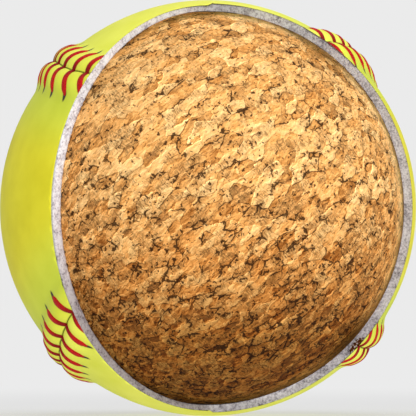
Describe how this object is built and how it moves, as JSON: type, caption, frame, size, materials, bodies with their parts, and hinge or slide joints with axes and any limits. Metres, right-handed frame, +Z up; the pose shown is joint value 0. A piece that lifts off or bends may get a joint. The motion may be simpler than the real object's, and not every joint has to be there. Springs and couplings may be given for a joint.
{
  "type": "softball",
  "caption": "Round leather-covered softball with laced raised seams, opened by a display window that shows its yarn winding and cork core.",
  "frame": {"origin": "centre of the ball and of its cork core", "axes": "+Z up, -Y out of the display window towards the viewer, +X to the viewer's right"},
  "size_m": [0.097, 0.0961, 0.097],
  "materials": {
    "cork": "matte granulated cork",
    "yarn": "matte wound yarn, cut across",
    "latex_cement": "satin dried film",
    "cover_leather": "satin dyed leather",
    "lacing_thread": "waxed thread"
  },
  "bodies": {
    "root": {"cork_core": "cork", "yarn_winding": "yarn", "latex_cement_coat": "latex_cement", "back_panel": "cover_leather", "front_panel_left_lobe": "cover_leather", "front_panel_right_lobe": "cover_leather", "left_seam_thread_a": "lacing_thread", "left_seam_thread_b": "lacing_thread", "right_seam_thread_a": "lacing_thread", "right_seam_thread_b": "lacing_thread"}
  },
  "joints": []
}
